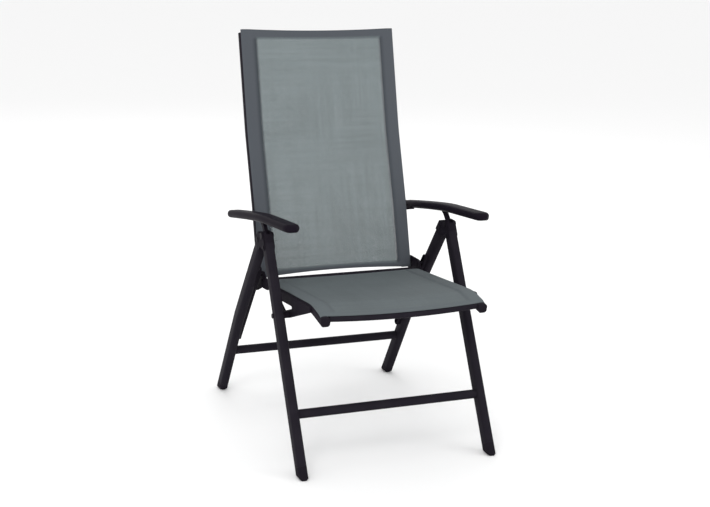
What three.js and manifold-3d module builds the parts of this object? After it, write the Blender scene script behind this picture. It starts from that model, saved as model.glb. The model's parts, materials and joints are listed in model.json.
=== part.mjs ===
// Folding patio chair with sling seat and sling back, in millimetres, +Z up, facing -Y.
// The two leg pairs stand in the same upright planes. The rear legs hinge on plates behind the front legs,
// the seat hangs on brackets inside the front legs, and its rear corners roll in tracks on the rear legs.
import * as THREE from "three";
import { mergeVertices } from "three/addons/utils/BufferGeometryUtils.js";
import { ConvexGeometry } from "three/addons/geometries/ConvexGeometry.js";
import Module from "manifold-3d";

const wasm = await Module();
wasm.setup();

// Fits and fineness
const seatGap = 0.3;
const runningGap = 0.5;
const boreGap = 0.1;
const cutOverrun = 20;
const cornerSteps = 3;
const roundSteps = 16;
const hubSteps = 20;

// Legs
const legSpacing = 550;
const legWidth = 25;
const legDepth = 38;
const legCorner = 9;
const legWall = 1.6;
const frontLegAngle = 29;
const rearLegAngle = 35.4;
const rearFootAngle = 30.4;
const rearBendHeight = 283;
const apexHeight = 593.8;
const foldedLegGap = 1;
const footLength = 30;
const footBevel = 5;
const plugLength = 34;

// Joint at the top of the legs
const forkNeck = 25;
const forkEndRadius = 15;
const forkShoulder = 7;
const forkSlotPlay = 4;
const forkSlotReach = 45;
const forkCrownShare = 0.3;
const forkFootRadius = 1;
const hingePlateThickness = 2.5;
const hingePlateRadius = 10.5;
const hingePlateReach = 32;
const rearCapLength = 24;
const rearTopRise = 21;
const pinRadius = 4;
const pinHeadRadius = 7;
const pinHeadHeight = 2;
const rivetRadius = 3;
const rivetHeadRadius = 5;
const rivetHeadHeight = 2;

// Crossbars
const stretcherRadius = 12.5;
const frontStretcherHeight = 148;
const rearStretcherHeight = 149;

// Seat frame
const railWidth = 25;
const railDepth = 25;
const railCorner = 8;
const railWall = 1.5;
const railSpacing = 449;
const seatSlopeAngle = 5.4;
const seatFrontAngle = 10;
const seatFrontReach = 5;
const seatFrontBend = 74;
const seatBendRadius = 70;
const seatBendSteps = 4;
const seatRailTail = 12;
const seatPivotDrop = 43.3;
const seatPivotSetback = 11;
const railPlugLength = 24;
const railPlugFlange = 5;
const seatFrontBarRadius = 8.5;
const seatFrontBarInset = 15;
const seatFrontBarRise = 3;
const seatFrontBarBow = 8;
const seatFrontBarAngle = 35;
const seatRearBarRadius = 8;
const seatRearBarInset = 1;
const seatRearBarRise = 8.5;

// Hinge between the seat and the back, and its track on the rear leg
const hingeHeight = 430;
const hingeAboveSeat = 27;
const earThickness = 4;
const earRadius = 11;
const seatEarReach = 33;
const linkHeight = 23;
const linkBossRadius = 9;
const hingeHeadRadius = 5.5;
const rollerRadius = 5;
const rollerPinRadius = 2.5;
const rollerPlay = 2.5;
const rollerWidth = 5.5;
const trackThickness = 9.5;
const trackBase = 2.5;
const trackWall = 3;
const trackStart = 134;
const trackEnd = 440;

// Back frame
const backLowerAngle = 16.7;
const backMiddleAngle = 19.9;
const backUpperAngle = 15.4;
const backLowerLength = 203;
const backMiddleLength = 213;
const backUpperLength = 291;
const backBendRadius = 500;
const backBendSteps = 2;
const backRailSpacing = 453;
const backFootSetback = 50.1;
const backFootDrop = 22.7;
const backTopBarRadius = 8;
const backTopBarBow = 8;
const backTopBarInset = 12;
const backBottomBarRadius = 7;
const backBottomBarInset = 16;

// Slings
const slingThickness = 1.6;
const seatSlingRearInset = 26;
const seatSlingFrontInset = 12;
const backSlingBottomInset = 5;
const backSlingTopRise = 8;
const slingBowSteps = 12;

// Seat brackets on the front legs
const bracketThickness = 6;
const bracketHubRadius = 9;
const bracketArmRadius = 9;
const bracketFrontReach = 155;
const bracketRearReach = 110;
const bracketTail = 34;
const bracketHoleRadius = 4;
const bracketHoleFront = 23;
const bracketHoleRear = 62;
const bracketWeb = 9;

// Armrests
const armWidth = 44;
const armThickness = 22;
const armFrontReach = 214;
const armTailReach = 312;
const armTopRise = 58.3;
const armSlopeAngle = 5.6;
const armTailDrop = 24.8;
const armBendPower = 1.28;
const armSteps = 26;
const armEndRadius = 26;
const armEndShare = 0.3;
const armTipRadius = 12.6;
const armTipShare = 0.35;
const armCrownShare = 0.48;
const pocketDepth = 40;
const armStemThickness = 10;
const armStemWidth = 14;
const armEyeRadius = 10;
const armPinRadius = 6;
const armPinHeadRadius = 9;
const armStemFlare = 22;
const armStemAngle = 45;
const armStemLength = 50;
const latchHeight = 174;
const latchPinRadius = 3.5;
const notchCount = 6;
const notchDepth = 4;
const latchGap = 0.7;
const rackWidth = 10;
const rackRoot = 2.5;
const rackMargin = 5;
const pocketInset = 5;
const reclineAngle = 28;
const liftAngle = 60;
const armTiltShare = 0.185;

// Looks
const frameColor = 0x26222a;
const plasticColor = 0x1d1b20;
const steelColor = 0x8d8f94;
const slingColor = 0x6f777b;

// Directions and points in the side view: x is the place along Y, y is the height.
const toRadians = THREE.MathUtils.degToRad;
const point = (along, up) => new THREE.Vector2(along, up);
const leaning = (degrees) => point(Math.sin(toRadians(degrees)), Math.cos(toRadians(degrees)));
const from = (start, direction, distance) => start.clone().addScaledVector(direction, distance);
const turned = (direction, degrees) => direction.clone().rotateAround(point(0, 0), toRadians(degrees));
const quarterTurn = 90;

const frontUp = leaning(frontLegAngle);
const frontBack = turned(frontUp, -quarterTurn);
const rearUp = leaning(-rearLegAngle);
const rearFront = turned(rearUp, quarterTurn);
const rearFootUp = leaning(-rearFootAngle);

const onFrontLeg = (height) => from(point(0, 0), frontUp, height / frontUp.y);
const apex = onFrontLeg(apexHeight);
const hingeSetback = legDepth + foldedLegGap;
const openAngle = toRadians(frontLegAngle + rearLegAngle);
const rearPivot = from(apex, rearUp, -hingeSetback / Math.sin(openAngle));
const armPivot = from(rearPivot, frontBack, -hingeSetback);
const onRearLeg = (height) => from(rearPivot, rearUp, (height - rearPivot.y) / rearUp.y);
const rearBend = onRearLeg(rearBendHeight);
const rearFloor = from(rearBend, rearFootUp, -rearBend.y / rearFootUp.y);
const onRearFoot = (height) => from(rearFloor, rearFootUp, height / rearFootUp.y);

const backHinge = onRearLeg(hingeHeight);
const seatBack = leaning(quarterTurn + seatSlopeAngle);
const seatUp = turned(seatBack, quarterTurn);
const backUp = leaning(backLowerAngle);
const seatLine = from(backHinge, seatUp, -hingeAboveSeat);
const legAtSeat = seatLine.dot(seatUp) / frontUp.dot(seatUp);
const seatPivotOnLeg = from(point(0, 0), frontUp, legAtSeat - seatPivotDrop);
const seatPivot = from(seatPivotOnLeg, frontBack, seatPivotSetback);
const backFoot = point(backHinge.x + backFootSetback, backHinge.y - backFootDrop);
const onSeat = (setback) => from(seatLine, seatBack, setback);
const onBack = (height) => from(backFoot, backUp, height);
const linkPivot = onBack(linkHeight);

// Places across the chair, measured outwards from its middle
const legMiddle = legSpacing / 2;
const legInner = legMiddle - legWidth / 2;
const legOuter = legMiddle + legWidth / 2;
const railMiddle = railSpacing / 2;
const railOuter = railMiddle + railWidth / 2;
const backRailMiddle = backRailSpacing / 2;
const backRailOuter = backRailMiddle + railWidth / 2;
const backRailInner = backRailMiddle - railWidth / 2;
const railInner = railMiddle - railWidth / 2;
const innerPlate = [legInner - seatGap - hingePlateThickness, legInner - seatGap];
const outerPlate = [legOuter + seatGap, legOuter + seatGap + hingePlateThickness];
const seatEar = [railOuter + seatGap, railOuter + seatGap + earThickness];
const linkPlate = [seatEar[1] + runningGap, seatEar[1] + runningGap + earThickness];
const trackFace = legInner - seatGap - trackThickness;
const rollerInner = trackFace + runningGap;

function solidOf(geometry) {
  const bare = new THREE.BufferGeometry();
  bare.setAttribute("position", geometry.getAttribute("position"));
  if (geometry.index) bare.setIndex(geometry.index);
  const merged = mergeVertices(bare, 1e-4);
  return new wasm.Manifold(
    new wasm.Mesh({
      numProp: 3,
      vertProperties: merged.attributes.position.array,
      triVerts: new Uint32Array(merged.index.array),
    }),
  );
}

function geometryOf(solid) {
  const mesh = solid.getMesh();
  const geometry = new THREE.BufferGeometry();
  geometry.setAttribute("position", new THREE.BufferAttribute(mesh.vertProperties, 3));
  geometry.setIndex(new THREE.BufferAttribute(mesh.triVerts, 1));
  geometry.computeVertexNormals();
  return geometry;
}

// Turns a shape drawn in the side view so that its depth runs across the chair.
const sideView = new THREE.Matrix4().makeBasis(
  new THREE.Vector3(0, 1, 0),
  new THREE.Vector3(0, 0, 1),
  new THREE.Vector3(1, 0, 0),
);

function plate(outline, inner, outer) {
  const shape = outline instanceof THREE.Shape ? outline : new THREE.Shape(outline);
  const options = { depth: outer - inner, bevelEnabled: false, curveSegments: roundSteps / 2 };
  const geometry = new THREE.ExtrudeGeometry(shape, options);
  geometry.applyMatrix4(new THREE.Matrix4().makeTranslation(0, 0, inner));
  geometry.applyMatrix4(sideView);
  return solidOf(geometry);
}

// A round bar or bore that runs across the chair.
function crossRound(centre, radius, inner, outer) {
  const geometry = new THREE.CylinderGeometry(radius, radius, outer - inner, hubSteps);
  geometry.rotateZ(toRadians(quarterTurn));
  geometry.translate((inner + outer) / 2, centre.x, centre.y);
  return solidOf(geometry);
}

function circlePoints(centre, radius, count = roundSteps) {
  const step = (2 * Math.PI) / count;
  return Array.from({ length: count }, (_, index) =>
    point(centre.x + radius * Math.cos(index * step), centre.y + radius * Math.sin(index * step)),
  );
}

// A body stretched tight over several layers, each a set of circles at one place across the chair.
function stackedHull(layers) {
  const places = layers.flatMap(([circles, across]) =>
    circles.flatMap(([centre, radius]) =>
      circlePoints(centre, radius).map((corner) => new THREE.Vector3(across, corner.x, corner.y)),
    ),
  );
  return solidOf(new ConvexGeometry(places));
}

// A flat plate whose outline is drawn tight round several circles.
function tightPlate(circles, inner, outer) {
  return stackedHull([
    [circles, inner],
    [circles, outer],
  ]);
}

function roundedOutline(width, depth, corner) {
  const outline = new THREE.Shape();
  const right = width / 2;
  const top = depth / 2;
  outline.moveTo(right, corner - top);
  outline.lineTo(right, top - corner);
  outline.absarc(right - corner, top - corner, corner, 0, Math.PI / 2);
  outline.lineTo(corner - right, top);
  outline.absarc(corner - right, top - corner, corner, Math.PI / 2, Math.PI);
  outline.lineTo(-right, corner - top);
  outline.absarc(corner - right, corner - top, corner, Math.PI, 1.5 * Math.PI);
  outline.lineTo(right - corner, -top);
  outline.absarc(right - corner, corner - top, corner, 1.5 * Math.PI, 2 * Math.PI);
  return outline;
}

// A path through given places, with one ring of the swept section at each place.
class StationPath extends THREE.Curve {
  constructor(stations) {
    super();
    this.stations = stations;
  }

  getPointAt(share, target = new THREE.Vector3()) {
    const last = this.stations.length - 1;
    return target.copy(this.stations[Math.round(share * last)]);
  }

  getTangentAt(share, target = new THREE.Vector3()) {
    const last = this.stations.length - 1;
    const index = Math.round(share * last);
    const ahead = this.stations[Math.min(index + 1, last)].clone();
    const here = this.stations[index];
    const behind = this.stations[Math.max(index - 1, 0)];
    if (index === 0 || index === last) return target.copy(ahead.sub(behind).normalize());
    const arriving = here.clone().sub(behind).normalize();
    return target.copy(ahead.sub(here).normalize().add(arriving).normalize());
  }

  getPoint(share, target) {
    return this.getPointAt(share, target);
  }
}

function sweep(section, stations) {
  const options = {
    steps: stations.length - 1,
    bevelEnabled: false,
    curveSegments: cornerSteps,
    extrudePath: new StationPath(stations),
  };
  return solidOf(new THREE.ExtrudeGeometry(section, options));
}

const atSide = (across, places) => places.map((place) => new THREE.Vector3(across, place.x, place.y));

function hollowSection(width, depth, corner, wall) {
  const section = roundedOutline(width, depth, corner);
  section.holes.push(roundedOutline(width - 2 * wall, depth - 2 * wall, corner - wall));
  return section;
}

// The outline of a section at the height where the leaning leg meets a level plane.
function levelRing(section, foot, up, across, height) {
  const back = turned(up, -quarterTurn);
  return section.getPoints(cornerSteps).map((corner) => {
    const place = from(foot, back, corner.y);
    const met = from(place, up, (height - place.y) / up.y);
    return new THREE.Vector3(across + corner.x, met.x, met.y);
  });
}

function squareRing(section, centre, up, across) {
  const back = turned(up, -quarterTurn);
  return section.getPoints(cornerSteps).map((corner) => {
    const place = from(centre, back, corner.y);
    return new THREE.Vector3(across + corner.x, place.x, place.y);
  });
}

const legSection = hollowSection(legWidth, legDepth, legCorner, legWall);
const legOutline = roundedOutline(legWidth, legDepth, legCorner);
const footWidth = legWidth - 2 * footBevel;
const bevelOutline = roundedOutline(footWidth, legDepth - 2 * footBevel, legCorner - footBevel);
const plugInset = 2 * (legWall + seatGap);
const plugWidth = legWidth - plugInset;
const plugOutline = roundedOutline(plugWidth, legDepth - plugInset, legCorner - legWall - seatGap);

function legPlug(end, up, across, distance) {
  return sweep(plugOutline, atSide(across, [end, from(end, up, distance)]));
}

function legFoot(floor, up, across) {
  const top = from(floor, up, footLength);
  const rings = [
    ...levelRing(bevelOutline, floor, up, across, 0),
    ...levelRing(legOutline, floor, up, across, footBevel),
    ...squareRing(legOutline, top, up, across),
  ];
  const block = solidOf(new ConvexGeometry(rings));
  return block.add(legPlug(from(top, up, -seatGap), up, across, plugLength));
}

function pinWithHeads(centre, radius, headRadius, headHeight, inner, outer) {
  const shaft = crossRound(centre, radius, inner - headHeight / 2, outer + headHeight / 2);
  const innerHead = crossRound(centre, headRadius, inner - headHeight, inner);
  const outerHead = crossRound(centre, headRadius, outer, outer + headHeight);
  return shaft.add(innerHead).add(outerHead);
}

const frameFinish = new THREE.MeshStandardMaterial({ color: frameColor, roughness: 0.42, metalness: 0.3 });
const plasticFinish = new THREE.MeshStandardMaterial({ color: plasticColor, roughness: 0.6, metalness: 0 });
const steelFinish = new THREE.MeshStandardMaterial({ color: steelColor, roughness: 0.35, metalness: 0.9 });
const slingFinish = new THREE.MeshStandardMaterial({ color: slingColor, roughness: 0.85, metalness: 0 });

const chair = new THREE.Group();

function addPiece(name, solid, material) {
  const mesh = new THREE.Mesh(geometryOf(solid), material);
  mesh.name = name;
  chair.add(mesh);
}

// Pieces are made for the side at +X, and mirrored for the other side.
function addPair(name, solid, material) {
  addPiece(`${name}_right`, solid, material);
  addPiece(`${name}_left`, solid.mirror([1, 0, 0]), material);
}

// Front legs with their feet, crossbar and top forks
const armStemUp = leaning(armStemAngle);
const frontTubeStart = from(point(0, 0), frontUp, footLength + seatGap);
const frontTubeEnd = from(armPivot, frontUp, -forkNeck);
const plateRivet = from(armPivot, frontUp, -hingePlateReach);
const legBoreSpan = [legInner - cutOverrun, legOuter + cutOverrun];
const seatBoltBore = crossRound(seatPivot, pinRadius + boreGap, ...legBoreSpan);
const rivetBore = crossRound(plateRivet, rivetRadius + boreGap, ...legBoreSpan);
const frontLegTube = sweep(legSection, atSide(legMiddle, [frontTubeStart, frontTubeEnd]));
addPair("front_leg", frontLegTube.subtract(seatBoltBore).subtract(rivetBore), frameFinish);
addPair("front_foot", legFoot(point(0, 0), frontUp, legMiddle), plasticFinish);

const stretcherReach = legInner - seatGap;
const frontStretcherPlace = onFrontLeg(frontStretcherHeight);
const frontStretcher = crossRound(frontStretcherPlace, stretcherRadius, -stretcherReach, stretcherReach);
addPiece("front_stretcher", frontStretcher, frameFinish);

// The fork carries the armrest stem: it is slotted in the middle, open to the top and to the front.
function makeFork() {
  const base = from(frontTubeEnd, frontUp, seatGap);
  const foot = [
    [from(base, frontBack, legDepth / 2 - forkFootRadius), forkFootRadius],
    [from(base, frontBack, forkFootRadius - legDepth / 2), forkFootRadius],
  ];
  const crown = forkCrownShare * forkShoulder;
  const body = stackedHull([
    [[[armPivot, forkEndRadius - forkShoulder], ...foot], legInner],
    [[[armPivot, forkEndRadius - crown], ...foot], legInner + crown],
    [[[armPivot, forkEndRadius], ...foot], legInner + forkShoulder],
    [[[armPivot, forkEndRadius], ...foot], legOuter - forkShoulder],
    [[[armPivot, forkEndRadius - crown], ...foot], legOuter - crown],
    [[[armPivot, forkEndRadius - forkShoulder], ...foot], legOuter],
  ]);
  const trimmed = body.intersect(
    sweep(legOutline, atSide(legMiddle, [base, from(base, frontUp, forkNeck + 2 * forkEndRadius)])),
  );
  const slotRadius = armEyeRadius + runningGap;
  const lowest = turned(armStemUp, -reclineAngle * armTiltShare - forkSlotPlay);
  const highest = turned(armStemUp, liftAngle + forkSlotPlay);
  const slot = new THREE.Shape([
    from(armPivot, turned(lowest, -quarterTurn), slotRadius),
    from(from(armPivot, turned(lowest, -quarterTurn), slotRadius), lowest, forkSlotReach),
    from(armPivot, turned(lowest, liftAngle / 2), 2 * forkSlotReach),
    from(from(armPivot, turned(highest, quarterTurn), slotRadius), highest, forkSlotReach),
    from(armPivot, turned(highest, quarterTurn), slotRadius),
  ]);
  const slotHalf = armStemThickness / 2 + runningGap;
  const swept = plate(slot, legMiddle - slotHalf, legMiddle + slotHalf);
  const eye = crossRound(armPivot, slotRadius, legMiddle - slotHalf, legMiddle + slotHalf);
  const bore = crossRound(armPivot, armPinRadius + boreGap, ...legBoreSpan);
  const plug = legPlug(from(base, frontUp, seatGap), frontUp, legMiddle, -plugLength);
  return trimmed.add(plug).subtract(swept).subtract(eye).subtract(bore).subtract(rivetBore);
}
addPair("front_leg_fork", makeFork(), plasticFinish);

// Two plates on each front leg hold the rear leg's pivot.
function makeHingePlate([inner, outer]) {
  const body = tightPlate(
    [armPivot, plateRivet, rearPivot].map((centre) => [centre, hingePlateRadius]),
    inner,
    outer,
  );
  const low = inner - cutOverrun;
  const high = outer + cutOverrun;
  return body
    .subtract(crossRound(armPivot, armPinRadius + boreGap, low, high))
    .subtract(crossRound(rearPivot, pinRadius + boreGap, low, high))
    .subtract(crossRound(plateRivet, rivetRadius + boreGap, low, high));
}
addPair("hinge_plate_inner", makeHingePlate(innerPlate), plasticFinish);
addPair("hinge_plate_outer", makeHingePlate(outerPlate), plasticFinish);
const plateSpan = [innerPlate[0] - seatGap, outerPlate[1] + seatGap];
const rivet = pinWithHeads(plateRivet, rivetRadius, rivetHeadRadius, rivetHeadHeight, ...plateSpan);
addPair("plate_rivet", rivet, steelFinish);

// Rear legs with their feet, crossbar, top caps and tracks
const rearTubeStart = from(rearFloor, rearFootUp, footLength + seatGap);
const rearTubeEnd = from(rearPivot, rearUp, -rearCapLength);
const rearTube = sweep(legSection, atSide(legMiddle, [rearTubeStart, rearBend, rearTubeEnd]));
addPair("rear_leg", rearTube, frameFinish);
addPair("rear_foot", legFoot(rearFloor, rearFootUp, legMiddle), plasticFinish);
const rearStretcherPlace = onRearFoot(rearStretcherHeight);
const rearStretcher = crossRound(rearStretcherPlace, stretcherRadius, -stretcherReach, stretcherReach);
addPiece("rear_stretcher", rearStretcher, frameFinish);

// The rear cap turns beside the front leg: its nose is round about the pivot, and its top is flat.
function makeRearCap() {
  const half = legDepth / 2;
  const base = from(rearTubeEnd, rearUp, seatGap);
  const noseStart = Math.atan2(rearFront.y, rearFront.x) + 2 * Math.PI;
  const noseEnd = Math.atan2(-frontBack.y, -frontBack.x);
  const nose = [];
  for (let step = 0; step <= cornerSteps * 2; step += 1) {
    const angle = THREE.MathUtils.lerp(noseStart, noseEnd, step / (cornerSteps * 2));
    nose.push(point(rearPivot.x + half * Math.cos(angle), rearPivot.y + half * Math.sin(angle)));
  }
  const noseTop = nose[nose.length - 1];
  const topHeight = rearPivot.y + rearTopRise;
  const topFront = from(noseTop, frontUp, (topHeight - noseTop.y) / frontUp.y);
  const rearFace = from(rearPivot, rearFront, -half);
  const topBack = from(rearFace, rearUp, (topHeight - rearFace.y) / rearUp.y);
  const outline = [from(base, rearFront, half), ...nose, topFront, topBack, from(base, rearFront, -half)];
  const body = plate(outline.reverse(), legInner, legOuter);
  const bore = crossRound(rearPivot, pinRadius + boreGap, ...legBoreSpan);
  const plug = legPlug(from(base, rearUp, seatGap), rearUp, legMiddle, -plugLength);
  return body.add(plug).subtract(bore);
}
addPair("rear_leg_cap", makeRearCap(), plasticFinish);
const legHingePin = pinWithHeads(rearPivot, pinRadius, pinHeadRadius, pinHeadHeight, ...plateSpan);
addPair("leg_hinge_pin", legHingePin, steelFinish);

// The track is a channel on the inner face of the rear leg, open towards the seat.
function makeTrack() {
  const startsAt = from(rearPivot, rearUp, -trackStart);
  const endsAt = from(rearPivot, rearUp, -trackEnd);
  const slotHalf = rollerRadius + rollerPlay;
  const body = tightPlate(
    [
      [startsAt, slotHalf + trackWall],
      [endsAt, slotHalf + trackWall],
    ],
    trackFace,
    trackFace + trackThickness,
  );
  const slot = tightPlate(
    [
      [startsAt, slotHalf],
      [endsAt, slotHalf],
    ],
    trackFace - cutOverrun,
    trackFace + trackThickness - trackBase,
  );
  return body.subtract(slot);
}
addPair("guide_track", makeTrack(), plasticFinish);

// Seat frame: two rails that bend down at the front, a bowed front bar and a straight rear bar
const railSection = hollowSection(railWidth, railDepth, railCorner, railWall);
const seatRailEnd = onSeat(seatRailTail);
const seatFrontOut = leaning(-quarterTurn - seatFrontAngle);
const seatBendPlace = from(seatLine, seatBack, (seatFrontBend - seatLine.x) / seatBack.x);
const seatTip = from(seatBendPlace, seatFrontOut, (seatFrontBend + seatFrontReach) / -seatFrontOut.x);

// The stations of a bend at a corner between two straight runs.
function bendStations(corner, arriving, leaving, radius, steps) {
  const turn = THREE.MathUtils.radToDeg(arriving.angleTo(leaving));
  const side = Math.sign(arriving.cross(leaving));
  const run = radius * Math.tan(toRadians(turn / 2));
  const start = from(corner, arriving, -run);
  const outward = turned(arriving, -side * quarterTurn);
  const middle = from(start, outward, -radius);
  return Array.from({ length: steps + 1 }, (_, step) => {
    const spoke = turned(outward, (side * turn * step) / steps);
    return from(middle, spoke, radius);
  });
}

const seatFront = seatBack.clone().negate();
const seatLinePoints = [
  seatRailEnd,
  ...bendStations(seatBendPlace, seatFront, seatFrontOut, seatBendRadius, seatBendSteps),
  from(seatTip, seatFrontOut, -railPlugFlange - seatGap),
];
addPair("seat_rail", sweep(railSection, atSide(railMiddle, seatLinePoints)), frameFinish);

const railOutline = roundedOutline(railWidth, railDepth, railCorner);
const railPlugInset = 2 * (railWall + seatGap);
const railPlugOutline = roundedOutline(
  railWidth - railPlugInset,
  railDepth - railPlugInset,
  railCorner - railWall - seatGap,
);

function railPlug(end, outward, across = railMiddle) {
  const flange = sweep(railOutline, atSide(across, [from(end, outward, -railPlugFlange), end]));
  const insertEnd = from(end, outward, -railPlugLength);
  const insertStart = from(end, outward, -railPlugFlange / 2);
  const insert = sweep(railPlugOutline, atSide(across, [insertEnd, insertStart]));
  return flange.add(insert);
}
addPair("seat_rail_plug", railPlug(seatTip, seatFrontOut), plasticFinish);

const barReach = railInner - seatGap;
const seatRearBarFoot = from(seatRailEnd, seatBack, -seatRearBarInset - seatRearBarRadius);
const seatRearBarPlace = from(seatRearBarFoot, seatUp, seatRearBarRise);
addPiece("seat_rear_bar", crossRound(seatRearBarPlace, seatRearBarRadius, -barReach, barReach), frameFinish);

// A round bar between the rails that bows away from the straight line by the given amount.
function bowedBar(place, direction, bow, radius, reach = barReach) {
  const stations = [];
  const end = reach - runningGap;
  for (let step = 0; step <= slingBowSteps; step += 1) {
    const share = (2 * step) / slingBowSteps - 1;
    const middle = from(place, direction, bow * (1 - share * share));
    stations.push(new THREE.Vector3(share * end, middle.x, middle.y));
  }
  const round = new THREE.Shape();
  round.absarc(0, 0, radius, 0, 2 * Math.PI);
  const options = {
    steps: slingBowSteps,
    bevelEnabled: false,
    curveSegments: roundSteps / 2,
    extrudePath: new StationPath(stations),
  };
  return solidOf(new THREE.ExtrudeGeometry(round, options));
}
const seatFrontUp = turned(seatFrontOut, -quarterTurn);
const seatFrontBarFoot = from(seatTip, seatFrontOut, -seatFrontBarInset);
const seatFrontBarPlace = from(seatFrontBarFoot, seatFrontUp, seatFrontBarRise);
const seatFrontBarOut = turned(seatFrontOut, seatFrontBarAngle);
const seatFrontBar = bowedBar(seatFrontBarPlace, seatFrontBarOut, seatFrontBarBow, seatFrontBarRadius);
addPiece("seat_front_bar", seatFrontBar, frameFinish);

// Seat brackets: plates on the rails with a hub that reaches the inner face of the front leg
function makeBracket() {
  const inner = railOuter + seatGap;
  const outer = inner + bracketThickness;
  const acrossPivot = seatPivot.clone().sub(seatLine).dot(seatBack);
  const railFront = onSeat(acrossPivot - bracketFrontReach);
  const railBack = onSeat(acrossPivot + bracketRearReach);
  const low = from(seatPivot, seatBack, bracketTail);
  const corners = [
    [railFront, bracketArmRadius],
    [railBack, bracketArmRadius],
    [low, bracketHubRadius / 2],
    [seatPivot, bracketHubRadius],
  ];
  const holeDrop = railDepth / 2 + 2 * bracketHoleRadius;
  const underRail = (setback) => from(onSeat(acrossPivot + setback), seatUp, -holeDrop);
  const holeCorners = [
    underRail(-bracketHoleFront),
    underRail(bracketHoleRear),
    from(low, seatUp, bracketWeb + bracketHoleRadius - bracketHubRadius / 2),
  ];
  const hole = tightPlate(
    holeCorners.map((centre) => [centre, bracketHoleRadius]),
    inner - cutOverrun,
    outer + cutOverrun,
  );
  const hub = crossRound(seatPivot, bracketHubRadius, inner, legInner - runningGap);
  const bore = crossRound(seatPivot, pinRadius + boreGap, inner - cutOverrun, legInner);
  return tightPlate(corners, inner, outer).subtract(hole).add(hub).subtract(bore);
}
addPair("seat_bracket", makeBracket(), plasticFinish);
const seatBoltSpan = [railOuter, legOuter + seatGap];
const seatPivotBolt = pinWithHeads(seatPivot, pinRadius, pinHeadRadius, pinHeadHeight, ...seatBoltSpan);
addPair("seat_pivot_bolt", seatPivotBolt, steelFinish);

// Hinge between seat and back: an ear on each seat rail, a link to the back rail, and a roller in the track
function makeSeatEar() {
  const body = tightPlate(
    [
      [backHinge, earRadius],
      [onSeat(0), earRadius],
      [onSeat(-seatEarReach), earRadius],
    ],
    ...seatEar,
  );
  const boreSpan = [seatEar[0] - cutOverrun, seatEar[1] + cutOverrun];
  return body.subtract(crossRound(backHinge, pinRadius + boreGap, ...boreSpan));
}
addPair("seat_hinge_ear", makeSeatEar(), plasticFinish);

// The link turns on the hinge pin and carries the back rail on a bolt of its own.
function makeLink() {
  const body = tightPlate(
    [
      [backHinge, earRadius],
      [linkPivot, earRadius],
    ],
    ...linkPlate,
  );
  const boss = crossRound(linkPivot, linkBossRadius, backRailOuter + runningGap, linkPlate[1]);
  const high = linkPlate[1] + cutOverrun;
  const hingeBore = crossRound(backHinge, pinRadius + boreGap, linkPlate[0] - cutOverrun, high);
  const boltBore = crossRound(linkPivot, pinRadius + boreGap, backRailOuter, high);
  return body.add(boss).subtract(hingeBore).subtract(boltBore);
}
addPair("hinge_link", makeLink(), plasticFinish);
// The bolt is held by a head inside the hollow rail.
const linkBoltSpan = [backRailOuter - 2 * railWall, linkPlate[1] + seatGap];
const linkBolt = pinWithHeads(linkPivot, pinRadius, pinHeadRadius, pinHeadHeight, ...linkBoltSpan);
addPair("link_bolt", linkBolt, steelFinish);

const rollerSpan = [rollerInner, rollerInner + rollerWidth];
const hingeHeadSpan = [seatEar[0] - seatGap - pinHeadHeight, seatEar[0] - seatGap];
const hingePinHead = crossRound(backHinge, hingeHeadRadius, ...hingeHeadSpan);
const hingePinShaft = crossRound(backHinge, pinRadius, seatEar[0] - pinHeadHeight, rollerInner - boreGap);
const rollerPin = crossRound(backHinge, rollerPinRadius, seatEar[0], rollerSpan[1]);
addPair("hinge_pin", hingePinShaft.add(hingePinHead).add(rollerPin), steelFinish);
const rollerBoreSpan = [rollerSpan[0] - cutOverrun, rollerSpan[1] + cutOverrun];
const rollerBore = crossRound(backHinge, rollerPinRadius + boreGap, ...rollerBoreSpan);
const guideRoller = crossRound(backHinge, rollerRadius, ...rollerSpan).subtract(rollerBore);
addPair("guide_roller", guideRoller, plasticFinish);

// Back frame: two gently curved rails with two crossbars and the latch pins that hold the armrests
const backMiddleUp = leaning(backMiddleAngle);
const backUpperUp = leaning(backUpperAngle);
const backLowBend = onBack(backLowerLength);
const backHighBend = from(backLowBend, backMiddleUp, backMiddleLength);
const backTop = from(backHighBend, backUpperUp, backUpperLength);
const backBends = [
  ...bendStations(backLowBend, backUp, backMiddleUp, backBendRadius, backBendSteps),
  ...bendStations(backHighBend, backMiddleUp, backUpperUp, backBendRadius, backBendSteps),
];
const latchPlace = onBack(latchHeight);
const backBoreSpan = [backRailInner - cutOverrun, backRailOuter + cutOverrun];
const latchBore = crossRound(latchPlace, latchPinRadius + boreGap, ...backBoreSpan);
const linkBoreSpan = [backRailOuter - railWall - cutOverrun, backRailOuter + cutOverrun];
const linkBore = crossRound(linkPivot, pinRadius + boreGap, ...linkBoreSpan);
const backPlugTop = from(backTop, backUpperUp, -railPlugFlange - seatGap);
const backRail = sweep(railSection, atSide(backRailMiddle, [backFoot, ...backBends, backPlugTop]));
addPair("back_rail", backRail.subtract(latchBore).subtract(linkBore), frameFinish);
addPair("back_rail_plug", railPlug(backTop, backUpperUp, backRailMiddle), plasticFinish);
const backBarReach = backRailInner - seatGap;
const backUpperFront = turned(backUpperUp, quarterTurn);
const backTopBarPlace = from(backTop, backUpperUp, -backTopBarInset);
const backTopBarBack = backUpperFront.clone().negate();
const backTopBar = bowedBar(backTopBarPlace, backTopBarBack, backTopBarBow, backTopBarRadius, backBarReach);
addPiece("back_top_bar", backTopBar, frameFinish);
const backBottomBarPlace = onBack(backBottomBarInset);
const backBottomBar = crossRound(backBottomBarPlace, backBottomBarRadius, -backBarReach, backBarReach);
addPiece("back_bottom_bar", backBottomBar, frameFinish);

// Armrests: a swept pad with round ends, a stem down to the fork, and a rack of notches for the latch pin
const armUp = leaning(armSlopeAngle);
const armBack = turned(armUp, -quarterTurn);
const armTop = point(armPivot.x, armPivot.y + armTopRise);

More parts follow.
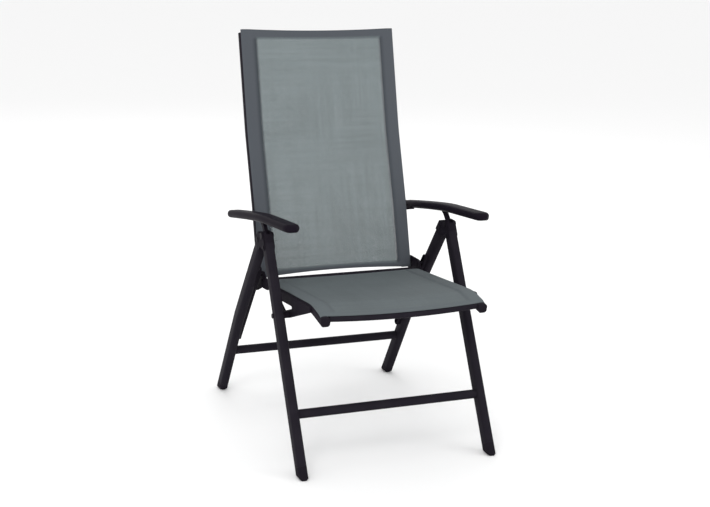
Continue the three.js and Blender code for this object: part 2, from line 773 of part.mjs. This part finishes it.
// The armrest is straight in front of its pivot, and curves down behind it.
function armHeightAt(setback) {
  const share = Math.max(setback, 0) / armTailReach;
  return -armTailDrop * share ** armBendPower;
}

function armTopAt(setback) {
  return from(from(armTop, armBack, setback), armUp, armHeightAt(setback));
}

// How much of its full size the pad keeps near an end, on a round curve down to the least share.
function roundedShare(endGap, radius, least) {
  const short = 1 - Math.min(endGap / radius, 1);
  return Math.max(Math.sqrt(1 - short * short), least);
}

// The pad is drawn along a straight line, and each corner is then moved to its place on the curved armrest.
function makeArmPad() {
  const section = roundedOutline(armWidth, armThickness, armThickness * armCrownShare);
  const options = { depth: 1, steps: armSteps, bevelEnabled: false, curveSegments: cornerSteps };
  const pad = new THREE.ExtrudeGeometry(section, options);
  const corners = pad.getAttribute("position");
  for (let index = 0; index < corners.count; index += 1) {
    const share = (1 - Math.cos(Math.PI * corners.getZ(index))) / 2;
    const setback = THREE.MathUtils.lerp(armTailReach, -armFrontReach, share);
    const endGap = Math.min(setback + armFrontReach, armTailReach - setback);
    const width = roundedShare(endGap, armEndRadius, armEndShare);
    const height = roundedShare(endGap, armTipRadius, armTipShare);
    const rise = corners.getY(index) * height - armThickness / 2;
    const place = from(armTopAt(setback), armUp, rise);
    corners.setXYZ(index, legMiddle + corners.getX(index) * width, place.x, place.y);
  }
  return solidOf(pad);
}

// Where the latch pin lies, seen from the armrest, when the back is reclined by the given angle.
function latchSeenFromArm(recline) {
  const swung = latchPlace.clone().rotateAround(linkPivot, toRadians(-recline));
  return swung.rotateAround(armPivot, toRadians(recline * armTiltShare));
}

// A point beside the latch pin's path, counted in notches along it and in millimetres above it.
function besideLatchPath(notch, height, shift = 0) {
  const step = reclineAngle / (notchCount - 1);
  const here = latchSeenFromArm(step * notch);
  const ahead = latchSeenFromArm(step * (notch + 0.5));
  const along = ahead.sub(latchSeenFromArm(step * (notch - 0.5))).normalize();
  return from(from(here, along, shift), turned(along, quarterTurn), height);
}

const toothTip = latchPinRadius + latchGap;
const toothRoot = toothTip + notchDepth;
const rackTop = toothRoot + rackRoot;
const rackInner = legMiddle - armWidth / 2 + pocketInset;
const rackOuter = rackInner + rackWidth;

// The rack's notches follow the latch pin's path under the armrest.
function makeRack() {
  const under = [besideLatchPath(0, toothTip, -rackMargin)];
  const over = [besideLatchPath(0, rackTop, -rackMargin)];
  const half = latchPinRadius + runningGap;
  for (let notch = 0; notch < notchCount; notch += 1) {
    under.push(besideLatchPath(notch, toothTip, -half));
    under.push(besideLatchPath(notch, toothRoot, -half / 2));
    under.push(besideLatchPath(notch, toothRoot, half / 2));
    under.push(besideLatchPath(notch, toothTip, half));
    over.push(besideLatchPath(notch, rackTop));
  }
  under.push(besideLatchPath(notchCount - 1, toothTip, rackMargin));
  over.push(besideLatchPath(notchCount - 1, rackTop, rackMargin));
  return plate([...under, ...over.reverse()], rackInner, rackOuter);
}

// The pocket in the armrest's underside holds the rack, and lets the latch pin in from the seat's side.
function makePocket() {
  const margin = rackMargin + seatGap;
  const above = rackTop + seatGap;
  const roof = [besideLatchPath(0, above, -margin)];
  for (let notch = 0; notch < notchCount; notch += 1) roof.push(besideLatchPath(notch, above));
  roof.push(besideLatchPath(notchCount - 1, above, margin));
  const first = besideLatchPath(0, above - pocketDepth, -margin);
  const last = besideLatchPath(notchCount - 1, above - pocketDepth, margin);
  return plate([first, last, ...roof.reverse()], rackInner - cutOverrun, rackOuter + seatGap);
}

function makeArmrest() {
  const inner = legMiddle - armStemThickness / 2;
  const outer = legMiddle + armStemThickness / 2;
  const stemTop = from(armPivot, armStemUp, armStemLength);
  const flare = from(stemTop, armBack, -armStemFlare / 2);
  const spread = from(stemTop, armBack, armStemFlare / 2);
  const half = armStemWidth / 2;
  const neck = tightPlate(
    [
      [armPivot, half],
      [stemTop, half],
    ],
    inner,
    outer,
  );
  const foot = tightPlate(
    [
      [from(armPivot, armStemUp, armStemLength - armStemFlare / 2), half],
      [flare, half / 2],
      [spread, half / 2],
    ],
    inner,
    outer,
  );
  const eye = crossRound(armPivot, armEyeRadius, inner, outer);
  const bore = crossRound(armPivot, armPinRadius + boreGap, inner - cutOverrun, outer + cutOverrun);
  return makeArmPad().subtract(makePocket()).add(neck).add(foot).add(eye).subtract(bore);
}
addPair("armrest", makeArmrest(), plasticFinish);
addPair("armrest_rack", makeRack(), plasticFinish);
const armPivotPin = pinWithHeads(armPivot, armPinRadius, armPinHeadRadius, pinHeadHeight, ...plateSpan);
addPair("arm_pivot_pin", armPivotPin, steelFinish);
const latchPin = crossRound(latchPlace, latchPinRadius, railInner, rackOuter - runningGap);
addPair("latch_pin", latchPin, steelFinish);

// Slings: sheets on the faces of the rails, from one rail's outer side to the other's
function makeSling(line, lift, reach) {
  const low = lift;
  const high = lift + slingThickness;
  const normals = line.map((place, index) => {
    const ahead = line[Math.min(index + 1, line.length - 1)];
    const behind = line[Math.max(index - 1, 0)];
    return turned(ahead.clone().sub(behind).normalize(), quarterTurn);
  });
  const under = line.map((place, index) => from(place, normals[index], low));
  const over = line.map((place, index) => from(place, normals[index], high));
  return plate([...under, ...over.reverse()], -reach, reach);
}

const slingLift = railDepth / 2 + seatGap;
const seatSlingLine = [
  from(seatTip, seatFrontOut, -seatSlingFrontInset),
  ...seatLinePoints.slice(1, -1).reverse(),
  from(seatRailEnd, seatBack, -seatSlingRearInset),
];
addPiece("seat_sling", makeSling(seatSlingLine, slingLift, railOuter), slingFinish);
const backSlingLine = [
  onBack(backSlingBottomInset),
  ...backBends,
  from(backTop, backUpperUp, backSlingTopRise),
];
addPiece("back_sling", makeSling(backSlingLine, slingLift, backRailOuter), slingFinish);

// The origin lies on the floor under the middle of the chair's box.
const box = new THREE.Box3().setFromObject(chair);
chair.position.y = -(box.min.y + box.max.y) / 2;
const part = new THREE.Group();
part.add(chair);

export default part;
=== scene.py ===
import json
import math

import bmesh
import bpy
from mathutils import Matrix, Vector


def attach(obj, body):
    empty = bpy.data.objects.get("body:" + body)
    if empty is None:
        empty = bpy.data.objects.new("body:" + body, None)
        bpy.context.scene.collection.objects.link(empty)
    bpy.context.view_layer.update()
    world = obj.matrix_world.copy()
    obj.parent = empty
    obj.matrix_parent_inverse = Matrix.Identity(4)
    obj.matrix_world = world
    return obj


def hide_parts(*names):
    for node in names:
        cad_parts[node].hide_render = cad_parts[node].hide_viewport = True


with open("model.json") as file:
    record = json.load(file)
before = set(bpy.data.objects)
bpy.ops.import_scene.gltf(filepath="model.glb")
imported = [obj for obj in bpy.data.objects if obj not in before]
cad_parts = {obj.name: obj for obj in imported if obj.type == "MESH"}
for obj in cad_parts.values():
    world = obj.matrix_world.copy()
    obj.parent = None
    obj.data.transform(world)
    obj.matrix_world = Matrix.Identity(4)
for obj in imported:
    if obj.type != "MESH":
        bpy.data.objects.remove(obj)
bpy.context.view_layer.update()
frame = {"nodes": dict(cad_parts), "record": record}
print("frame loaded:", len(frame["nodes"]), "nodes")

sideShift = -0.3581  # from the front feet to the middle of the chair, along Y


# camera and studio

# Where the photograph was taken from. Angles are in degrees, lens and sensor in millimetres.
camera = {
    "place": (-1.4808, -3.1683 + sideShift, 1.5025),
    "azimuth": -22.807,
    "elevation": 14.705,
    "roll": 2.001,
    "lens": 70.99,
    "sensor": 36.0,
    "farEnd": 100.0,
}


def placeCamera():
    az, el, roll = (math.radians(camera[key]) for key in ("azimuth", "elevation", "roll"))
    reach = math.cos(el)
    forward = Vector((-math.sin(az) * reach, math.cos(az) * reach, -math.sin(el)))
    level = Vector((math.cos(az), math.sin(az), 0))
    above = level.cross(forward)
    right = level * math.cos(roll) + above * math.sin(roll)
    up = above * math.cos(roll) - level * math.sin(roll)
    data = bpy.data.cameras.new("chairCamera")
    data.lens = camera["lens"]
    data.sensor_width = camera["sensor"]
    data.clip_end = camera["farEnd"]
    view = bpy.data.objects.new("chairCamera", data)
    turn = Matrix((right, up, -forward)).transposed().to_4x4()
    view.matrix_world = Matrix.Translation(Vector(camera["place"])) @ turn
    bpy.context.collection.objects.link(view)
    bpy.context.scene.camera = view


studio = {
    "floorSize": 60.0,
    "floorColor": (0.92, 0.92, 0.92, 1),
    "floorRoughness": 0.9,
    "skyColor": (1.0, 1.0, 1.0, 1),
    "skyStrength": 1.0,
    "lamps": (
        # name, place, width and power
        ("keyLamp", (-2.4, -3.2, 3.6), 2.2, 70.0),
        ("fillLamp", (3.4, -2.2, 2.4), 2.6, 25.0),
        ("backLamp", (0.4, 3.4, 3.4), 2.6, 40.0),
    ),
    "aim": (0, 0, 0.55),
}


def buildStudio():
    bm = bmesh.new()
    bmesh.ops.create_grid(bm, x_segments=1, y_segments=1, size=studio["floorSize"] / 2)
    floor = meshObject("floor", bm)
    material, shader, _ = newMaterial("floorPaint")
    shader.inputs["Base Color"].default_value = studio["floorColor"]
    shader.inputs["Roughness"].default_value = studio["floorRoughness"]
    floor.data.materials.append(material)
    world = bpy.data.worlds.new("studioSky")
    bpy.context.scene.world = world
    bpy.context.scene.view_settings.view_transform = "Standard"
    world.use_nodes = True
    sky = world.node_tree.nodes["Background"]
    sky.inputs["Color"].default_value = studio["skyColor"]
    sky.inputs["Strength"].default_value = studio["skyStrength"]
    for name, place, size, power in studio["lamps"]:
        data = bpy.data.lights.new(name, "AREA")
        data.shape = "SQUARE"
        data.size = size
        data.energy = power
        lamp = bpy.data.objects.new(name, data)
        aim = Vector(studio["aim"]) - Vector(place)
        turn = aim.to_track_quat("-Z", "Y").to_matrix().to_4x4()
        lamp.matrix_world = Matrix.Translation(Vector(place)) @ turn
        bpy.context.collection.objects.link(lamp)


# mesh helpers

# Angles are in degrees.
finishing = {
    "joinDistance": 2e-6,
    "flatAngle": 0.6,
    "smoothAngle": 38,
    "bevelAngle": 45,
    "bevelSegments": 2,
}


def meshObject(name, bm):
    mesh = bpy.data.meshes.new(name)
    bm.to_mesh(mesh)
    bm.free()
    piece = bpy.data.objects.new(name, mesh)
    bpy.context.collection.objects.link(piece)
    return piece


def smoothByAngle(bm):
    for face in bm.faces:
        face.smooth = True
    for edge in bm.edges:
        if len(edge.link_faces) == 2:
            edge.smooth = edge.calc_face_angle(0) < math.radians(finishing["smoothAngle"])


def roundEdges(piece, width):
    bevel = piece.modifiers.new("edgeRounding", "BEVEL")
    bevel.width = width
    bevel.segments = finishing["bevelSegments"]
    bevel.limit_method = "ANGLE"
    bevel.angle_limit = math.radians(finishing["bevelAngle"])


def bodyOf(node):
    for body, nodes in frame["record"]["behaviour"]["bodies"].items():
        if node in nodes:
            return body
    raise ValueError(node)


def slotOf(node):
    for entry in frame["record"]["subparts"]:
        if entry["node"] == node:
            return entry["material_slot"]
    raise ValueError(node)


# A finished copy of a CAD node: joined faces, smooth round corners and softened edges.
def finishedCopy(node, material, rounding):
    bm = bmesh.new()
    bm.from_mesh(frame["nodes"][node].data)
    bmesh.ops.remove_doubles(bm, verts=bm.verts, dist=finishing["joinDistance"])
    bmesh.ops.dissolve_limit(
        bm,
        angle_limit=math.radians(finishing["flatAngle"]),
        verts=bm.verts,
        edges=bm.edges,
        use_dissolve_boundaries=False,
    )
    smoothByAngle(bm)
    piece = meshObject(node + "_finished", bm)
    piece.data.materials.clear()
    piece.data.materials.append(material)
    if rounding:
        roundEdges(piece, rounding)
    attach(piece, bodyOf(node))
    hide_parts(node)


# materials

def newMaterial(name):
    material = bpy.data.materials.new(name)
    material.use_nodes = True
    tree = material.node_tree
    shader = tree.nodes["Principled BSDF"]
    return material, shader, tree


def addNode(tree, kind, **values):
    node = tree.nodes.new(kind)
    for key, value in values.items():
        setattr(node, key, value)
    return node


# Gives a socket another node's output or a fixed value.
def feed(tree, value, socket):
    if isinstance(value, bpy.types.NodeSocket):
        tree.links.new(value, socket)
    else:
        socket.default_value = value


def mathNode(tree, operation, *values):
    node = addNode(tree, "ShaderNodeMath", operation=operation)
    for value, socket in zip(values, node.inputs):
        feed(tree, value, socket)
    return node.outputs[0]


def noiseOn(tree, coordinates, scale, detail):
    noise = addNode(tree, "ShaderNodeTexNoise")
    noise.inputs["Scale"].default_value = scale
    noise.inputs["Detail"].default_value = detail
    tree.links.new(coordinates, noise.inputs["Vector"])
    return noise.outputs["Fac"]


# Where a Mix node has its colour sockets, behind those of its other types.
mixSockets = {"factor": 0, "first": 6, "second": 7, "result": 2}


def mixColors(tree, factor, first, second, blend="MIX"):
    mix = addNode(tree, "ShaderNodeMix", data_type="RGBA", blend_type=blend)
    feed(tree, factor, mix.inputs[mixSockets["factor"]])
    feed(tree, first, mix.inputs[mixSockets["first"]])
    feed(tree, second, mix.inputs[mixSockets["second"]])
    return mix.outputs[mixSockets["result"]]


# Maps a value from one range, given as (low, high), to another.
def spread(tree, value, source, target=(0.0, 1.0)):
    ramp = addNode(tree, "ShaderNodeMapRange")
    ramp.inputs["From Min"].default_value = source[0]
    ramp.inputs["From Max"].default_value = source[1]
    ramp.inputs["To Min"].default_value = target[0]
    ramp.inputs["To Max"].default_value = target[1]
    tree.links.new(value, ramp.inputs["Value"])
    return ramp.outputs["Result"]


def bumpOn(tree, shader, height, strength, distance):
    bump = addNode(tree, "ShaderNodeBump")
    bump.inputs["Strength"].default_value = strength
    bump.inputs["Distance"].default_value = distance
    tree.links.new(height, bump.inputs["Height"])
    tree.links.new(bump.outputs["Normal"], shader.inputs["Normal"])


# Shared by all coated looks below.
coat = {
    "cloudDetail": 3.0,
    "cloudRange": (0.3, 0.7),
    "grainDetail": 1.0,
    "grainStrength": 0.6,
    "wornRange": (0.45, 0.75),
}
powderCoat = {
    "color": (0.0150, 0.0130, 0.0180, 1),
    "worn": (0.0195, 0.0170, 0.0225, 1),
    "roughness": (0.34, 0.46),
    "specular": 0.012,
    "grainScale": 900.0,
    "cloudScale": 14.0,
    "bumpHeight": 0.00006,
    "rounding": 0.0,
}
mouldedPlastic = {
    "color": (0.0125, 0.0105, 0.0150, 1),
    "worn": (0.0160, 0.0135, 0.0185, 1),
    "roughness": (0.45, 0.60),
    "specular": 0.012,
    "grainScale": 1400.0,
    "cloudScale": 22.0,
    "bumpHeight": 0.00008,
    "rounding": 0.0008,
}
armPlastic = {
    "color": (0.0098, 0.0076, 0.0122, 1),
    "worn": (0.0130, 0.0105, 0.0155, 1),
    "roughness": (0.34, 0.46),
    "specular": 0.012,
    "grainScale": 1100.0,
    "cloudScale": 16.0,
    "bumpHeight": 0.00007,
    "rounding": 0.0008,
}
darkSteel = {
    "color": (0.0120, 0.0102, 0.0140, 1),
    "worn": (0.0220, 0.0195, 0.0240, 1),
    "roughness": (0.34, 0.50),
    "specular": 0.03,
    "grainScale": 700.0,
    "cloudScale": 60.0,
    "bumpHeight": 0.00005,
    "rounding": 0.0005,
}


# A coated surface: fine grain in the bump, slow clouds in the colour and roughness.
def coatedMaterial(name, look):
    material, shader, tree = newMaterial(name)
    shader.inputs["Specular IOR Level"].default_value = look["specular"]
    place = addNode(tree, "ShaderNodeTexCoord").outputs["Object"]
    clouds = noiseOn(tree, place, look["cloudScale"], coat["cloudDetail"])
    grain = noiseOn(tree, place, look["grainScale"], coat["grainDetail"])
    rubbed = spread(tree, clouds, coat["wornRange"])
    color = mixColors(tree, rubbed, look["color"], look["worn"])
    tree.links.new(color, shader.inputs["Base Color"])
    roughness = spread(tree, clouds, coat["cloudRange"], look["roughness"])
    tree.links.new(roughness, shader.inputs["Roughness"])
    bumpOn(tree, shader, grain, coat["grainStrength"], look["bumpHeight"])
    return material


meshCloth = {
    "threadPitch": 0.0016,
    "threadHeight": 0.0003,
    "threadStrength": 0.35,
    "underHeight": 0.55,
    "crossing": 0.2,
    "cloudScale": 7.0,
    "cloudGain": (0.95, 1.05),
    "noiseRange": (0.3, 0.7),
    "noiseDetail": 2.0,
    "streakScales": ((240.0, 3.0, 1.0), (4.0, 230.0, 1.0), (110.0, 1.5, 1.0), (2.0, 110.0, 1.0)),
    "roughness": 0.7,
    "specular": 0.2,
}
# open: the cover below which a hole between the threads shows.
# streaks: how strongly the streaks differ in brightness.
backCloth = {
    "warp": (0.182, 0.217, 0.223, 1),
    "weft": (0.141, 0.168, 0.174, 1),
    "hem": (0.069, 0.077, 0.089, 1),
    "seam": (0.046, 0.053, 0.062, 1),
    "open": 0.54,
    "streaks": 0.065,
}
seatCloth = {
    "warp": (0.116, 0.136, 0.142, 1),
    "weft": (0.092, 0.108, 0.114, 1),
    "hem": (0.096, 0.112, 0.119, 1),
    "seam": (0.088, 0.102, 0.109, 1),
    "open": 0.22,
    "streaks": 0.030,
}


# Plain weave on the cloth's own map, which is laid out in metres: where the warp lies on top, the
# height of the upper thread, and how far the threads cover the holes between them.
def plainWeave(tree, cloth):
    place = addNode(tree, "ShaderNodeSeparateXYZ")
    tree.links.new(cloth, place.inputs[0])
    turns = math.pi / meshCloth["threadPitch"]
    across = mathNode(tree, "MULTIPLY", place.outputs[0], turns)
    along = mathNode(tree, "MULTIPLY", place.outputs[1], turns)
    warp = mathNode(tree, "ABSOLUTE", mathNode(tree, "SINE", across))
    weft = mathNode(tree, "ABSOLUTE", mathNode(tree, "SINE", along))
    over = mathNode(
        tree, "MULTIPLY", mathNode(tree, "COSINE", across), mathNode(tree, "COSINE", along)
    )
    warpOver = spread(tree, over, (-meshCloth["crossing"], meshCloth["crossing"]))
    under = meshCloth["underHeight"]
    warpHeight = mathNode(tree, "MULTIPLY", warp, spread(tree, over, (-1, 1), (under, 1)))
    weftHeight = mathNode(tree, "MULTIPLY", weft, spread(tree, over, (-1, 1), (1, under)))
    height = mathNode(tree, "MAXIMUM", warpHeight, weftHeight)
    cover = mathNode(tree, "MAXIMUM", warp, weft)
    return warpOver, height, cover


# Slow clouds and streaks along the threads, as one factor on the brightness.
def brightness(tree, cloth, streaks):
    onObject = addNode(tree, "ShaderNodeTexCoord").outputs["Object"]
    clouds = noiseOn(tree, onObject, meshCloth["cloudScale"], meshCloth["noiseDetail"])
    gain = spread(tree, clouds, meshCloth["noiseRange"], meshCloth["cloudGain"])
    streakGain = (1 - streaks, 1 + streaks)
    for scale in meshCloth["streakScales"]:
        streak = addNode(tree, "ShaderNodeMapping")
        streak.inputs["Scale"].default_value = scale
        tree.links.new(cloth, streak.inputs["Vector"])
        lines = noiseOn(tree, streak.outputs["Vector"], 1.0, meshCloth["noiseDetail"])
        shading = spread(tree, lines, meshCloth["noiseRange"], streakGain)
        gain = mathNode(tree, "MULTIPLY", gain, shading)
    grey = addNode(tree, "ShaderNodeCombineColor")
    for channel in grey.inputs:
        tree.links.new(gain, channel)
    return grey.outputs[0]


def clothMaterial(name, look):
    material, shader, tree = newMaterial(name)
    cloth = addNode(tree, "ShaderNodeUVMap", uv_map="cloth").outputs["UV"]
    warpOver, height, cover = plainWeave(tree, cloth)
    thread = mixColors(tree, warpOver, look["weft"], look["warp"])
    gain = brightness(tree, cloth, look["streaks"])
    shaded = mixColors(tree, 1.0, thread, gain, "MULTIPLY")
    hem = addNode(tree, "ShaderNodeAttribute", attribute_name="hem").outputs["Fac"]
    seam = addNode(tree, "ShaderNodeAttribute", attribute_name="seam").outputs["Fac"]
    hemmed = mixColors(tree, hem, shaded, look["hem"])
    color = mixColors(tree, seam, hemmed, look["seam"])
    tree.links.new(color, shader.inputs["Base Color"])
    shader.inputs["Roughness"].default_value = meshCloth["roughness"]
    shader.inputs["Specular IOR Level"].default_value = meshCloth["specular"]
    bumpOn(tree, shader, height, meshCloth["threadStrength"], meshCloth["threadHeight"])
    gap = mathNode(tree, "LESS_THAN", cover, look["open"])
    single = mathNode(tree, "SUBTRACT", 1.0, hem)
    closed = mathNode(tree, "SUBTRACT", 1.0, mathNode(tree, "MULTIPLY", gap, single))
    tree.links.new(closed, shader.inputs["Alpha"])
    return material


# slings

sling = {
    "thickness": 0.0009,
    "hemLift": 0.0010,
    "hemWidth": 0.043,
    "hemSteps": (0.012, 0.022),
    "seamWidth": 0.0016,
    "seamReach": 0.00192,
    "railReach": 0.0145,
    "railCorner": 0.0060,
    "cornerTurn": 65,
    "cornerSteps": 5,
    "pullReach": 0.075,
    "pullEdge": 0.022,
    "lipReach": 0.016,
    "sagPower": 0.6,
    "bendSteps": 4,
    "columns": 46,
    "rows": 72,
}


def lean(degrees):
    return Vector((math.sin(math.radians(degrees)), math.cos(math.radians(degrees))))


# Points along a line of straight runs in the side view, with soft bends at the corners.
def sideLine(start, runs, bend):
    corners = [Vector(start)]
    for direction, length in runs:
        corners.append(corners[-1] + direction * length)
    fine = []
    total = sum(length for _, length in runs)
    steps = sling["bendSteps"]
    for index in range(sling["rows"] + 1):
        distance = total * index / sling["rows"]
        nearEnd = distance < bend or distance > total - bend
        softness = 0 if nearEnd else bend
        average = Vector((0, 0))
        for step in range(-steps, steps + 1):
            place = distance + softness * step / steps
            walked = 0.0
            for number, (direction, length) in enumerate(runs):
                if place <= walked + length or number == len(runs) - 1:
                    average += corners[number] + direction * (place - walked)
                    break
                walked += length
        fine.append(average / (2 * steps + 1))
    return fine


# Half of a sling's cross-section, from the middle out: place across, place in front of the rail's
# middle, and place on the flat cloth.
def clothProfile(half):
    corner = sling["railCorner"]
    reach = sling["railReach"]
    inner = half - sling["hemWidth"]
    run = half - corner
    steps = sling["columns"] // 2
    across = [inner * index / steps for index in range(steps)]
    across += [inner, inner + sling["seamWidth"]]
    across += [inner + step for step in sling["hemSteps"]]
    across.append(run)
    profile = [(x, reach, x) for x in across]
    turns = sling["cornerSteps"]
    for step in range(1, turns + 1):
        angle = math.radians(sling["cornerTurn"]) * step / turns
        place = (run + corner * math.sin(angle), reach - corner + corner * math.cos(angle))
        profile.append((*place, run + corner * angle))
    return profile


# How far the cloth is drawn in near its first and last edge: the pulls move the middle of an edge
# against its ends, and the lips bend the whole edge down.
def edgePull(shape, out, middle, ends):
    pull = Vector((0, 0))
    for gap, shift, lip in zip(ends, shape["pulls"], shape["lips"]):
        pull += Vector(shift) * middle * max(1 - gap / sling["pullReach"], 0) ** 2
        pull -= out * lip * max(1 - gap / sling["lipReach"], 0) ** 2
    return pull


def buildCloth(name, line, shape, material):
    half = shape["half"]
    profile = clothProfile(half)
    both = [(-x, depth, -flat) for x, depth, flat in reversed(profile[1:])] + profile
    distances = [0.0]
    for before, after in zip(line, line[1:]):
        distances.append(distances[-1] + (after - before).length)
    total = distances[-1]
    bm = bmesh.new()
    bmesh.ops.create_grid(bm, x_segments=len(both) - 1, y_segments=len(line) - 1, size=1.0)
    hemLayer = bm.verts.layers.float.new("hem")
    seamLayer = bm.verts.layers.float.new("seam")
    mapLayer = bm.loops.layers.uv.new("cloth")
    digits = 6
    order = sorted(bm.verts, key=lambda v: (round(v.co.y, digits), round(v.co.x, digits)))
    flatPlace = {}
    inner = half - sling["hemWidth"]
    firstHem, lastHem = shape["endHems"]
    for index, vert in enumerate(order):
        row, column = divmod(index, len(both))
        x, depth, flat = both[column]
        before = line[max(row - 1, 0)]
        after = line[min(row + 1, len(line) - 1)]
        along = (after - before).normalized()
        out = Vector((-along.y, along.x))
        middle = 1 - min(abs(x) / (half - sling["pullEdge"]), 1.0) ** 2
        ends = (distances[row], total - distances[row])
        sideHem = abs(x) > inner + sling["seamWidth"] / 2
        endHem = ends[0] < firstHem or ends[1] < lastHem
        isHem = 1.0 if sideHem or endHem else 0.0
        atSeam = abs(abs(x) - inner) < sling["seamReach"] and not endHem
        swell = max(math.sin(math.pi * distances[row] / total), 0) ** sling["sagPower"]
        bow = -shape["sag"] * middle * swell
        place = line[row] + out * (depth + sling["hemLift"] * isHem + bow)
        place += edgePull(shape, out, middle, ends)
        vert.co = (x, place.x + sideShift, place.y)
        vert[hemLayer] = isHem
        vert[seamLayer] = 1.0 if atSeam else 0.0
        flatPlace[vert] = (flat, distances[row])
    for face in bm.faces:
        face.smooth = True
        for loop in face.loops:
            loop[mapLayer].uv = flatPlace[loop.vert]
    piece = meshObject(name, bm)
    piece.data.materials.append(material)
    thick = piece.modifiers.new("thickness", "SOLIDIFY")
    thick.thickness = sling["thickness"]
    thick.offset = 0
    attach(piece, shape["body"])
    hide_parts(shape["replaces"])


# The back: three straight runs up from the rails' foot, each with its lean and its length.
backShape = {
    "body": "backrest",
    "replaces": "back_sling",
    "restsOn": ["back_rail_left", "back_rail_right"],
    "foot": (0.49566, 0.40730),
    "lowInset": 0.0005,
    "lowerRun": (16.7, 0.203),
    "middleRun": (19.9, 0.213),
    "upperRun": (15.4, 0.291),
    "topRise": 0.008,
    "softBend": 0.03,
    "half": 0.2376,
    "sag": 0.006,
    "pulls": ((0.0024, 0.0080), (-0.0014, -0.0050)),
    "lips": (0.0, 0.0),
    "endHems": (0.010, 0.021),
}


def buildBackSling(material):
    lower, middle, upper = (backShape[key] for key in ("lowerRun", "middleRun", "upperRun"))
    start = Vector(backShape["foot"]) + lean(lower[0]) * backShape["lowInset"]
    runs = [
        (lean(lower[0]), lower[1] - backShape["lowInset"]),
        (lean(middle[0]), middle[1]),
        (lean(upper[0]), upper[1] + backShape["topRise"]),
    ]
    line = sideLine(start, runs, backShape["softBend"])
    buildCloth("back_cloth", line, backShape, material)


# The seat: a short nose up from the tip to the bend, then the deck down to the rear.
seatShape = {
    "body": "seat",
    "replaces": "seat_sling",
    "restsOn": ["seat_rail_left", "seat_rail_right"],
    "tip": (-0.0050, 0.4241),
    "frontInset": 0.012,
    "bend": (0.0740, 0.4380),
    "rear": (0.45496, 0.40199),
    "rearInset": 0.0190,
    "softBend": 0.02,
    "half": 0.2356,
    "sag": 0.007,
    "pulls": ((-0.0066, -0.0046), (-0.0030, 0.0003)),
    "lips": (0.0038, 0.0100),
    "endHems": (0.014, 0.014),
}


def buildSeatSling(material):
    tip, bend, rear = (Vector(seatShape[key]) for key in ("tip", "bend", "rear"))
    nose = (bend - tip).normalized()
    deck = (rear - bend).normalized()
    start = tip + nose * seatShape["frontInset"]
    runs = [
        (nose, (bend - start).length),
        (deck, (rear - bend).length - seatShape["rearInset"]),
    ]
    line = sideLine(start, runs, seatShape["softBend"])
    buildCloth("seat_cloth", line, seatShape, material)


# hinge gussets

# The deep plate under each hinge link. Its outline is given in the side view.
gusset = {
    "body": "hinge_links",
    "inner": 0.2417,
    "outer": 0.2456,
    "outline": (
        (0.0860, 0.4235), (0.0860, 0.3940), (0.0950, 0.3890), (0.1060, 0.3840), (0.1180, 0.3780),
        (0.1300, 0.3735), (0.1420, 0.3750), (0.1510, 0.3830), (0.1565, 0.3960), (0.1580, 0.4120),
        (0.1580, 0.4235),
    ),
    "rounding": 0.0006,
}


def buildGusset(side, name, material):
    bm = bmesh.new()
    rim = [bm.verts.new((side * gusset["inner"], y, z)) for y, z in gusset["outline"]]
    wall = bm.faces.new(rim)
    grown = bmesh.ops.extrude_face_region(bm, geom=[wall])["geom"]
    far = [item for item in grown if isinstance(item, bmesh.types.BMVert)]
    thickness = gusset["outer"] - gusset["inner"]
    bmesh.ops.translate(bm, verts=far, vec=(side * thickness, 0, 0))
    bmesh.ops.recalc_face_normals(bm, faces=bm.faces)
    smoothByAngle(bm)
    piece = meshObject(name, bm)
    piece.data.materials.append(material)
    roundEdges(piece, gusset["rounding"])
    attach(piece, gusset["body"])


# assembly

placeCamera()
buildStudio()
looks = {
    "painted_tube": powderCoat,
    "dark_plastic": mouldedPlastic,
    "armrest_plastic": armPlastic,
    "bare_steel": darkSteel,
}
finishes = {
    "painted_tube": coatedMaterial("tubePaint", powderCoat),
    "dark_plastic": coatedMaterial("mouldedFinish", mouldedPlastic),
    "armrest_plastic": coatedMaterial("armFinish", armPlastic),
    "bare_steel": coatedMaterial("steelFinish", darkSteel),
}
backWeave = clothMaterial("backWeave", backCloth)
seatWeave = clothMaterial("seatWeave", seatCloth)
print("materials ready")

for node in sorted(frame["nodes"]):
    slotName = slotOf(node)
    if slotName in finishes:
        finishedCopy(node, finishes[slotName], looks[slotName]["rounding"])
print("frame pieces finished")

buildBackSling(backWeave)
buildSeatSling(seatWeave)
print("slings ready")

gussetFinish = finishes[slotOf("hinge_link_left")]
buildGusset(-1, "hinge_gusset_left", gussetFinish)
buildGusset(1, "hinge_gusset_right", gussetFinish)
print("gussets ready")
